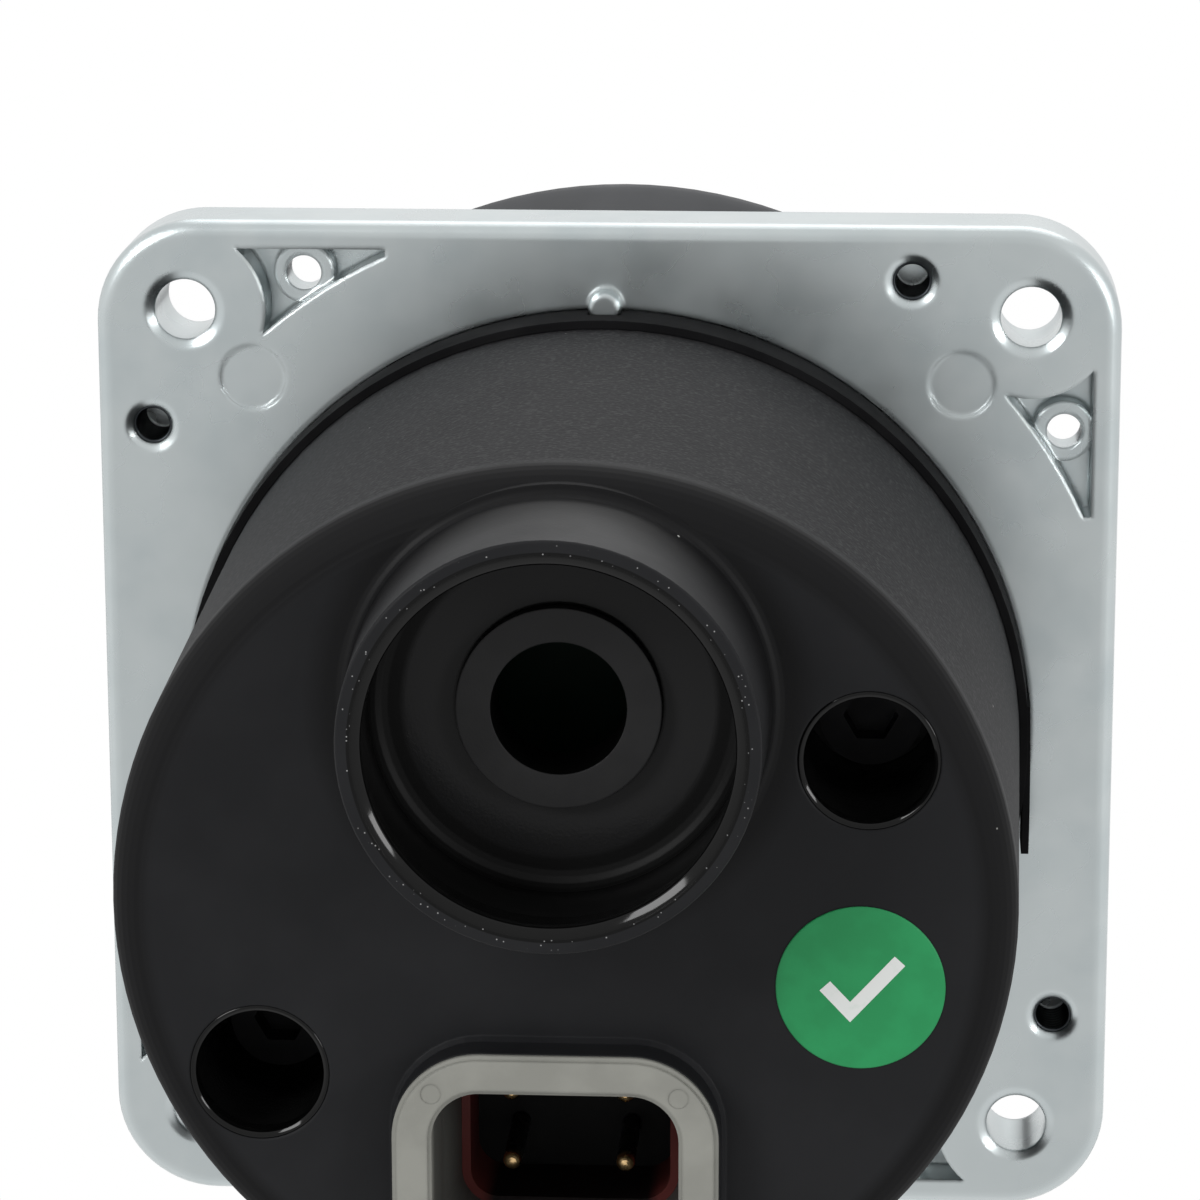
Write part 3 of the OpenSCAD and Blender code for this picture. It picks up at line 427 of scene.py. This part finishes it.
def housing_nylon():
    """Satin rear face, dull and flecked side, a polished cup and screw wells, and painted shade in the
    cup, in the wells and on the rear edge.
    """
    finish = Finish("housing_nylon", (0.0115, 0.0118, 0.0130), 0.42, specular=0.13)
    finish.soft_edges(0.25 * MM)
    finish.mottle(9 * MM, (0.014, 0.0143, 0.0156))
    finish.vary_roughness(12 * MM, 0.40, 0.52)
    side = finish.above(finish.along(), REAR_Z + 4 * MM, 1.5 * MM)
    flecks = finish.map(finish.noise(0.4 * MM, 2.0), 0.5, 0.68)
    finish.tint(finish.all_of(flecks, side), (0.035, 0.035, 0.036))
    finish.roughen(side, 0.69)
    polish_and_shade_cup(finish)
    shade_rear_edges(finish)
    # Painted shade: the screw wells are coloured near black, darker than the housing, and polished.
    for axis in well_axes():
        finish.coat(finish.below(finish.distance(axis), WELL_R, 0.05 * MM), (0.0045, 0.0045, 0.0045), 0.12)
    finish.grain(0.30 * MM, 0.010 * MM)
    finish.bump(finish.all_of(finish.noise(0.45 * MM, 2.0), side), 0.06 * MM)
    dust_rim(finish)
    return finish.dust(3.2 * MM, 0.06)


def polish_and_shade_cup(finish):
    """The cup is polished but for the foot of its wall. Its inside is painted near black as shade, but for
    a greyer floor away from the wall, and the gap round the bush's foot is painted black as shade.
    """
    height = finish.along()
    away = finish.distance(cup_axis())
    floor_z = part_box("cable_bush")[0].z + BUSH_PROUD
    inside = finish.below(away, CUP_R + 0.35 * MM, 0.04 * MM)
    in_cup = finish.all_of(inside, finish.below(height, floor_z + 0.1 * MM))
    at_foot = finish.all_of(in_cup, finish.above(height, floor_z - 1.4 * MM))
    off_wall = finish.below(away, CUP_R - 2.7 * MM, 0.3 * MM)
    on_floor = finish.all_of(in_cup, finish.above(height, floor_z - 0.35 * MM), off_wall)
    bush_gap_shade = finish.all_of(on_floor, finish.below(away, BUSH_R + 0.28 * MM, 0.04 * MM))
    # Painted shade: the inside of the cup and the floor next to its wall are coloured darker than the
    # housing.
    finish.coat(in_cup, (0.004, 0.004, 0.004), 0.09)
    finish.roughen(at_foot, 0.5)
    finish.coat(on_floor, (0.017, 0.017, 0.0175), 0.17)
    # Painted shade in the gap round the foot of the bush.
    finish.tint(bush_gap_shade, (0.0, 0.0, 0.0))


def shade_rear_edges(finish):
    """The rounded edge of the rear face is matt and painted darker as shade, and the fillet ring round the
    cup's foot is painted dark as shade too.
    """
    height = finish.along()
    away = finish.distance(cup_axis())
    outer = finish.above(finish.distance((0, 0)), REAR_EDGE_R + 0.4 * MM, 0.6 * MM)
    off_side = finish.below(height, REAR_Z + 3.5 * MM, 0.8 * MM)
    off_cup = finish.above(height, REAR_Z - 0.2 * MM)
    # Painted shade on the rounded rear edge.
    finish.coat(finish.all_of(outer, off_side, off_cup), (0.006, 0.006, 0.0065), 0.72)
    past_cup = finish.above(away, CUP_R + 1.5 * MM)
    near_cup = finish.below(away, CUP_R + 4.5 * MM, 1 * MM)
    on_fillet = finish.all_of(past_cup, near_cup, finish.below(height, REAR_Z + 0.6 * MM))
    # Painted shade in the fillet at the foot of the cup.
    finish.tint(on_fillet, (0.0065, 0.0065, 0.007))


def dust_rim(finish):
    """Pale specks all round the cup's rim."""
    away = finish.distance(cup_axis())
    past_mouth = finish.above(away, CUP_R + 0.1 * MM)
    off_outside = finish.below(away, CUP_R + 0.9 * MM)
    at_end = finish.below(finish.along(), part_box("housing")[0].z + 2 * MM)
    on_rim = finish.all_of(past_mouth, off_outside, at_end)
    finish.dust(0.27 * MM, 0.15, (0.30, 0.30, 0.30), 0.22, on_rim)


def polished_nylon():
    """Gloss of the rolled mouths of the cup and of the screw wells."""
    finish = Finish("cup_gloss", (0.003, 0.003, 0.003), 0.08, specular=0.20)
    return finish.grain(1.5 * MM, 0.004 * MM)


def plain_plastic(name, color, rough, specular=0.45, edge=0.2 * MM):
    """Moulded plastic, a little lighter in patches."""
    finish = Finish(name, color, rough, specular=specular)
    finish.soft_edges(edge)
    finish.mottle(5 * MM, tuple(1.12 * c + 0.002 for c in color))
    finish.vary_roughness(7 * MM, rough - 0.05, rough + 0.06)
    return finish.grain(0.25 * MM, 0.01 * MM)


def soft_rubber(name, color):
    """Matt rubber, lighter in patches."""
    finish = Finish(name, color, 0.62, specular=0.35)
    finish.mottle(12 * MM, tuple(1.25 * c + 0.004 for c in color), 0.4, 0.8)
    finish.vary_roughness(10 * MM, 0.52, 0.70)
    return finish.grain(0.5 * MM, 0.02 * MM)


def machined_metal(name, color, rough):
    """Turned or milled metal, a little darker in patches."""
    finish = Finish(name, color, rough, metal=1.0)
    finish.mottle(4 * MM, tuple(0.86 * c for c in color))
    finish.vary_roughness(3 * MM, rough - 0.06, rough + 0.08)
    return finish.grain(0.15 * MM, 0.003 * MM)


def connector_polyamide():
    """Light warm grey rim; the walls of the socket are painted darker as shade."""
    finish = plain_plastic("connector_polyamide", (0.262, 0.262, 0.236), 0.5, specular=0.3, edge=0.4 * MM)
    rim_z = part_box("connector_shroud")[0].z
    # Painted shade on the walls inside the socket, deeper than the rim.
    return finish.tint(finish.above(finish.along(), rim_z + 1.6 * MM, 1.2 * MM), (0.085, 0.085, 0.078))


def connector_silicone():
    """Red seal, which is in deep shade at its far end."""
    finish = soft_rubber("connector_silicone", (0.15, 0.028, 0.024))
    low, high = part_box("connector_seal")
    far = finish.above(finish.along("Y"), low.y + 0.62 * (high.y - low.y), 1.2 * MM)
    off_left = finish.above(finish.along("X"), low.x + 2.2 * MM, 0.5 * MM)
    off_right = finish.below(finish.along("X"), high.x - 2.2 * MM, 0.5 * MM)
    return finish.tint(finish.all_of(far, off_left, off_right), (0.006, 0.002, 0.002))


def bush_nylon():
    """Satin end face; the side and the bore are painted black as shade."""
    finish = plain_plastic("bush_nylon", (0.016, 0.016, 0.0165), 0.42, specular=0.2)
    end_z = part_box("cable_bush")[0].z
    # Painted shade: the bush's side and bore are coloured black.
    return finish.tint(finish.above(finish.along(), end_z + 0.15 * MM, 0.05 * MM), (0.001, 0.001, 0.001))


def gold_contact():
    """Gilt tips; the shafts are painted dark as the shade they stand in."""
    finish = machined_metal("contact_gold", (0.86, 0.60, 0.30), 0.26)
    tip_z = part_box("connector_pins")[0].z
    # Painted shade on the shafts of the pins above their tips.
    return finish.tint(finish.above(finish.along(), tip_z + 1.1 * MM, 0.4 * MM), (0.035, 0.028, 0.018))


def grip_grain():
    """Moulded leather-like grain of the hand grip."""
    finish = Finish("grip_grain", (0.020, 0.020, 0.021), 0.5, specular=0.4)
    finish.soft_edges(0.3 * MM)
    cells = finish.cells(1.1 * MM, "DISTANCE_TO_EDGE")
    finish.bump(finish.map(cells["Distance"], 0, 0.18), 0.06 * MM, 0.7)
    finish.vary_roughness(8 * MM, 0.45, 0.60)
    return finish.mottle(10 * MM, (0.026, 0.026, 0.027))


def sticker_vinyl():
    """Green film of the inspection label."""
    finish = Finish("sticker_vinyl", (0.019, 0.27, 0.088), 0.42, specular=0.3)
    finish.mottle(3 * MM, (0.022, 0.30, 0.10))
    return finish.grain(0.6 * MM, 0.01 * MM)


def sticker_ink():
    """White ink of the label's tick, thin in places."""
    return Finish("sticker_ink", (0.80, 0.82, 0.80), 0.45).mottle(1.2 * MM, (0.66, 0.74, 0.68), 0.55, 0.8)


def make_materials():
    """The finish of every material slot, and those of the lips, threads and ink, which are added here."""
    made = {
        "plate_alloy": cast_alloy(),
        "housing_black": housing_nylon(),
        # Black foam strip, painted darker still as the shade in the gap between plate and housing.
        "strip_black": plain_plastic("strip_foam_and_shade", (0.004, 0.004, 0.0045), 0.8, specular=0.1),
        "seal_black": soft_rubber("seal_rubber", (0.012, 0.012, 0.012)),
        "screw_black": machined_metal("screw_black_oxide", (0.012, 0.012, 0.0125), 0.38),
        "cup_gloss": polished_nylon(),
        "thread_shade": machined_metal("thread_shade", (0.05, 0.055, 0.06), 0.35),
        "bush_black": bush_nylon(),
        "connector_grey": connector_polyamide(),
        "connector_red": connector_silicone(),
        "insert_black": plain_plastic("insert_plastic", (0.004, 0.004, 0.004), 0.5, specular=0.15),
        "contact_gold": gold_contact(),
        "board_green": plain_plastic("board_mask", (0.004, 0.022, 0.011), 0.4, specular=0.2),
        "chip_black": plain_plastic("chip_package", (0.02, 0.02, 0.02), 0.5),
        "sticker_green": sticker_vinyl(),
        "sticker_ink": sticker_ink(),
        "frame_alloy": machined_metal("frame_alloy", (0.52, 0.53, 0.55), 0.4),
        "steel": machined_metal("bright_steel", (0.42, 0.43, 0.445), 0.30),
        "bronze": machined_metal("sintered_bronze", (0.55, 0.38, 0.19), 0.42),
        "spring_steel": machined_metal("spring_steel", (0.45, 0.46, 0.48), 0.3),
        "boot_rubber": soft_rubber("boot_neoprene", (0.082, 0.084, 0.088)),
        "holder_black": plain_plastic("holder_plastic", (0.03, 0.03, 0.032), 0.45),
        "magnet_nickel": machined_metal("magnet_nickel", (0.6, 0.59, 0.56), 0.2),
        "collar_black": plain_plastic("collar_nylon", (0.03, 0.03, 0.031), 0.45),
        "grip_black": grip_grain(),
        "cap_black": plain_plastic("cap_nylon", (0.018, 0.018, 0.019), 0.4),
    }
    return {slot: finish.material for slot, finish in made.items()}


def paint_cad_nodes(materials):
    """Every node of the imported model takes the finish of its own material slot."""
    for part in frame["record"]["subparts"]:
        node = nodes[part["node"]]
        node.data.materials.clear()
        node.data.materials.append(materials[part["material_slot"]])
        for face in node.data.polygons:
            face.material_index = 0


# ---------------------------------------------------------------- mesh helpers

def piece(name, vertices, faces, material, smooth=True):
    """A mesh object in the model's frame, with its finish and its material slot."""
    mesh = bpy.data.meshes.new(name)
    mesh.from_pydata([tuple(v) for v in vertices], [], faces)
    mesh.validate()
    mesh.materials.append(material)
    if smooth:
        mesh.polygons.foreach_set("use_smooth", [True] * len(mesh.polygons))
    made = bpy.data.objects.new(name, mesh)
    bpy.context.scene.collection.objects.link(made)
    return made


def face_outward(made):
    """Turns the faces of a closed mesh outward."""
    shape = bmesh.new()
    shape.from_mesh(made.data)
    bmesh.ops.recalc_face_normals(shape, faces=shape.faces)
    shape.to_mesh(made.data)
    shape.free()


def angles(count):
    """Evenly spaced angles of one whole turn."""
    return [2 * math.pi * k / count for k in range(count)]


def revolve(name, profile, material, around, axis=(0, 0)):
    """Turns a closed profile of (radius, height) points about an upright axis through (x, y)."""
    vertices, faces = [], []
    count = len(profile)
    for a in angles(around):
        vertices += [(axis[0] + r * math.cos(a), axis[1] + r * math.sin(a), z) for r, z in profile]
    for k in range(around):
        for i in range(count):
            j = (i + 1) % count
            a, b = k * count, (k + 1) % around * count
            faces.append((a + i, b + i, b + j, a + j))
    made = piece(name, vertices, faces, material)
    face_outward(made)
    return made


def bar(name, sections, material):
    """Joins a row of four-cornered sections into a bar with flat faces."""
    vertices = [corner for section in sections for corner in section]
    faces = []
    for i in range(len(sections) - 1):
        for k in range(4):
            a, b = 4 * i + k, 4 * i + (k + 1) % 4
            faces.append((a, b, b + 4, a + 4))
    last = len(vertices) - 4
    faces += [(3, 2, 1, 0), (last, last + 1, last + 2, last + 3)]
    made = piece(name, vertices, faces, material, smooth=False)
    face_outward(made)
    return made


# ---------------------------------------------------------------- boot

boot_low, boot_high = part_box("boot")
clamp_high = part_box("boot_clamp_ring")[1]

# The folds are a wave about a line that leans inward by one taper per fold.
FOLD_COUNT = 4
FOLD_PITCH = 12 * MM
FOLD_SWING = 5.4 * MM
FOLD_TAPER = 6.6 * MM
FOLD_FULLNESS = 0.8
FIRST_CREST_Z = boot_low.z + 24 * MM

NECK_R = 7.9 * MM
NECK_BORE_R = 6.3 * MM
NECK_LENGTH = 7 * MM
RUBBER = 1.5 * MM


def boot_radius(z):
    """Outer radius of the folds at a height; their crests are fuller than a plain wave's."""
    share = (z - FIRST_CREST_Z) / FOLD_PITCH
    swing = math.cos(2 * math.pi * share)
    full = math.copysign(abs(swing) ** FOLD_FULLNESS, swing)
    return boot_high.x - FOLD_SWING - FOLD_TAPER * share + FOLD_SWING * full


def clamp_bore_radius():
    """Inner radius of the ring that clamps the boot."""
    ring = nodes["boot_clamp_ring"].data.vertices
    return min(math.hypot(v.co.x, v.co.y) for v in ring)


def boot_outline():
    """Outer line of the boot, from its foot over its folds to its neck."""
    foot_r = clamp_bore_radius() - 0.4 * MM
    start = FIRST_CREST_Z - FOLD_PITCH / 2
    end = start + FOLD_COUNT * FOLD_PITCH - 1.5 * MM
    steps = 24 * FOLD_COUNT
    line = [(foot_r, boot_low.z + 2.4 * MM), (foot_r, start - 3 * MM)]
    line.append((foot_r - 0.1 * MM, start - 1.4 * MM))
    for i in range(steps):
        z = start + (end - start) * i / (steps - 1)
        line.append((boot_radius(z), z))
    neck = boot_high.z - NECK_LENGTH
    line += [(NECK_R + 2 * MM, neck - 1.5 * MM), (NECK_R + 0.5 * MM, neck - 0.4 * MM)]
    line += [(NECK_R, neck + 0.4 * MM), (NECK_R, boot_high.z - 0.3 * MM), (NECK_R - 0.3 * MM, boot_high.z)]
    return line


def shell_of(line):
    """Closes an outer line into a thin wall."""
    inner = [(max(r - RUBBER, NECK_BORE_R), z) for r, z in reversed(line)]
    return line + inner


def add_boot(material):
    """Bellows in two pieces that meet in a groove.

    The lower one runs from the base to the groove, and the upper one from the groove to the lever.
    """
    line = boot_outline()
    groove = FIRST_CREST_Z + 0.5 * FOLD_PITCH
    low_line = [p for p in line if p[1] < groove] + [(boot_radius(groove), groove)]
    high_line = [low_line[-1]] + [p for p in line if p[1] > groove]
    flange_r = clamp_high.x - 1 * MM
    flange = [(flange_r, boot_low.z + 0.1 * MM), (flange_r, boot_low.z + 1.95 * MM)]
    lower = revolve("boot_lower", flange + shell_of(low_line), material, 128)
    upper = revolve("boot_upper", shell_of(high_line), material, 128)
    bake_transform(lower)
    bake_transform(upper)
    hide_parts("boot")
    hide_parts("boot")


# ---------------------------------------------------------------- loose end of the seal strip

def add_strip_tail(material):
    """The end of the seal strip, which leaves the housing along its tangent and waves a little."""
    low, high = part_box("panel_seal_strip")
    thick, start, length = 0.7 * MM, -3.5 * MM, 14.0 * MM
    z_low, z_high = low.z + 0.1 * MM, -0.15 * MM
    wave, steps = 0.12 * MM, 14
    sections = []
    for i in range(steps + 1):
        y = start + length * i / steps
        x = high.x - thick + 0.03 * MM + wave * math.sin(2.4 * i / steps)
        z = z_low + wave * math.sin(5.0 * i / steps)
        sections.append([(x, y, z), (x + thick, y, z), (x + thick, y, z_high), (x, y, z_high)])
    tail = bar("strip_tail", sections, material)
    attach(tail, "base")


# ---------------------------------------------------------------- polished lips of the cup and wells

# The stretch of the roll that shows, as angles from the level of its centre.
LIP_FROM = math.radians(65)
LIP_TO = math.radians(53)
LIP_STEPS = 8


def add_lip(name, axis, radius, rim_z, roll, reach, material):
    """Rolled mouth of a round hole, which runs out into the hole's wall reach metres in."""
    on_wall, in_wall = radius + 0.02 * MM, radius + 0.25 * MM
    centre_r = on_wall + roll * math.cos(LIP_FROM)
    centre_z = rim_z + 0.03 * MM + roll * math.sin(LIP_FROM)
    profile = [(in_wall, rim_z + 0.1 * MM)]
    for i in range(LIP_STEPS + 1):
        a = LIP_FROM + (LIP_TO - LIP_FROM) * i / LIP_STEPS
        profile.append((centre_r - roll * math.cos(a), centre_z - roll * math.sin(a)))
    inner_r, inner_z = profile[-1]
    profile.append((inner_r - 0.02 * roll, inner_z + 0.03 * roll))
    profile.append((inner_r - 0.025 * roll, inner_z + 0.09 * roll))
    profile += [(on_wall, rim_z + reach), (in_wall, rim_z + reach)]
    lip = revolve(name, profile, material, 160, axis)
    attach(lip, "base")


# ---------------------------------------------------------------- tongue between the grip's shells

# A vertex of a shell is on the parting line if it is this near to the middle, and this far out.
SEAM_NEAR = 0.6 * MM
SEAM_OUT = 9 * MM


def seam_points():
    """Places (height, y) of the shells' vertices on the grip's parting line."""
    shells = [nodes[name].data.vertices for name in ("grip_shell_left", "grip_shell_right")]
    places = [vertex.co for shell in shells for vertex in shell]
    return [(p.z, p.y) for p in places if abs(p.x) < SEAM_NEAR and abs(p.y) > SEAM_OUT]


def seam_outline(points, turn):
    """How far the parting line reaches at each level, to the front (turn 1) or the rear (turn -1).

    Levels are heights in millimetres, to a tenth.
    """
    outline = {}
    for z, y in points:
        if turn * y > 0:
            level = round(z / MM, 1)
            outline[level] = max(outline.get(level, 0), turn * y)
    return outline


def reach_at(outline, z):
    """The lesser reach of an outline's levels next above and next below a height."""
    below = max((level for level in outline if level <= z / MM), default=min(outline))
    above = min((level for level in outline if level >= z / MM), default=max(outline))
    return min(outline[below], outline[above])


def add_grip_tongue(material):
    """The tongue that closes the parting line of the grip, set back from its outline."""
    inset, width, half_thick, steps = 1.3 * MM, 1 * MM, 0.25 * MM, 40
    points = seam_points()
    z_low = min(z for z, y in points) + inset
    z_high = max(z for z, y in points) - inset
    for side, turn in (("front", 1), ("rear", -1)):
        outline = seam_outline(points, turn)
        sections = []
        for i in range(steps + 1):
            z = z_low + (z_high - z_low) * i / steps
            outer = turn * (reach_at(outline, z) - inset)
            inner = outer - turn * width
            flat = ((-half_thick, inner), (half_thick, inner), (half_thick, outer), (-half_thick, outer))
            sections.append([(x, y, z) for x, y in flat])
        tongue = bar("grip_tongue_" + side, sections, material)
        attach(tongue, "lever")


# ---------------------------------------------------------------- threads

THREAD_CIRCLE_R = 50.4 * MM
THREAD_FIRST_ANGLE = math.radians(213.6)
THREAD_ROOT_R = 1.765 * MM
THREAD_CREST_R = 1.5 * MM
THREAD_PITCH = 0.7 * MM
THREAD_TURNS = 9
THREAD_LOW_Z = 0.55 * MM
THREAD_HIGH_Z = 6.95 * MM


def add_threads(material):
    """Thread crests in the four blind holes of the plate, one hole per quarter turn."""
    profile = [(THREAD_ROOT_R, THREAD_LOW_Z)]
    for i in range(THREAD_TURNS):
        z = THREAD_LOW_Z + 0.05 * MM + i * THREAD_PITCH
        profile += [(THREAD_CREST_R, z + 0.3 * THREAD_PITCH), (THREAD_CREST_R, z + 0.45 * THREAD_PITCH)]
        profile.append((THREAD_ROOT_R - 0.02 * MM, z + 0.75 * THREAD_PITCH))
    profile.append((THREAD_ROOT_R, THREAD_HIGH_Z))
    for k in range(4):
        a = THREAD_FIRST_ANGLE + k * math.pi / 2
        axis = (THREAD_CIRCLE_R * math.cos(a), THREAD_CIRCLE_R * math.sin(a))
        thread = revolve("thread_%d" % (k + 1), profile, material, 40, axis)
        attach(thread, "base")


# ---------------------------------------------------------------- sticker

def add_sticker(materials):
    """Round label with a softened edge, and a plain tick in place of words."""
    low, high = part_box("inspection_sticker")
    centre = (low + high) / 2
    radius = (high.x - low.x) / 2
    around = 96
    # Rings of the label from its middle out, by share of the radius and depth behind its face.
    rings = [(0.55, 0), (0.9, 0.004 * MM), (0.985, 0.012 * MM), (1.0, 0.05 * MM), (1.0, high.z - low.z)]
    vertices, faces = [(centre.x, centre.y, low.z)], []
    for share, depth in rings:
        for a in angles(around):
            x, y = radius * share * math.cos(a), radius * share * math.sin(a)
            vertices.append((centre.x + x, centre.y + y, low.z + depth))
    for k in range(around):
        j = (k + 1) % around
        faces.append((0, 1 + j, 1 + k))
        for r in range(len(rings) - 1):
            a, b = 1 + r * around, 1 + (r + 1) * around
            faces.append((a + k, a + j, b + j, b + k))
    faces.append(tuple(range(len(vertices) - around, len(vertices))))
    label = piece("sticker_label", vertices, faces, materials["sticker_green"])
    face_outward(label)
    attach(label, "base")
    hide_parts("inspection_sticker")
    add_tick(centre, radius, low.z, materials["sticker_ink"])


def add_tick(centre, radius, z, material):
    """A printed tick, as thin ink just off the label's face."""
    over = z - 0.012 * MM
    start, bend, end = (Vector(p) * radius for p in ((-0.42, -0.02), (-0.12, 0.30), (0.46, -0.34)))
    half_width = 0.085 * radius
    first, second = (bend - start).normalized(), (end - bend).normalized()
    side_1, side_2 = Vector((-first.y, first.x)), Vector((-second.y, second.x))
    mitre = (side_1 + side_2) * half_width / (1 + side_1.dot(side_2))
    corners = [
        start - side_1 * half_width, bend - mitre, end - side_2 * half_width,
        end + side_2 * half_width, bend + mitre, start + side_1 * half_width,
    ]
    vertices = [(centre.x + c.x, centre.y + c.y, over) for c in corners]
    faces = [(0, 1, 4, 5), (1, 2, 3, 4)]
    tick = piece("sticker_tick", vertices, faces, material, smooth=False)
    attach(tick, "base")


# ---------------------------------------------------------------- build

add_camera()
add_world()
for lamp_name, (lamp_place, lamp_size, lamp_power) in LAMPS.items():
    add_lamp(lamp_name, lamp_place, lamp_size, lamp_power)
add_floor()

slots = make_materials()
paint_cad_nodes(slots)
add_boot(slots["boot_rubber"])
add_strip_tail(slots["strip_black"])
add_lip("cup_lip", cup_axis(), CUP_R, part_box("housing")[0].z, 3.8 * MM, 6 * MM, slots["cup_gloss"])
for side_name, well_axis in zip(("right", "left"), well_axes()):
    add_lip("well_lip_" + side_name, well_axis, WELL_BORE_R, REAR_Z, 1.5 * MM, 3 * MM, slots["cup_gloss"])
add_grip_tongue(slots["grip_black"])
add_threads(slots["thread_shade"])
add_sticker(slots)

bpy.context.scene.view_settings.view_transform = "Standard"
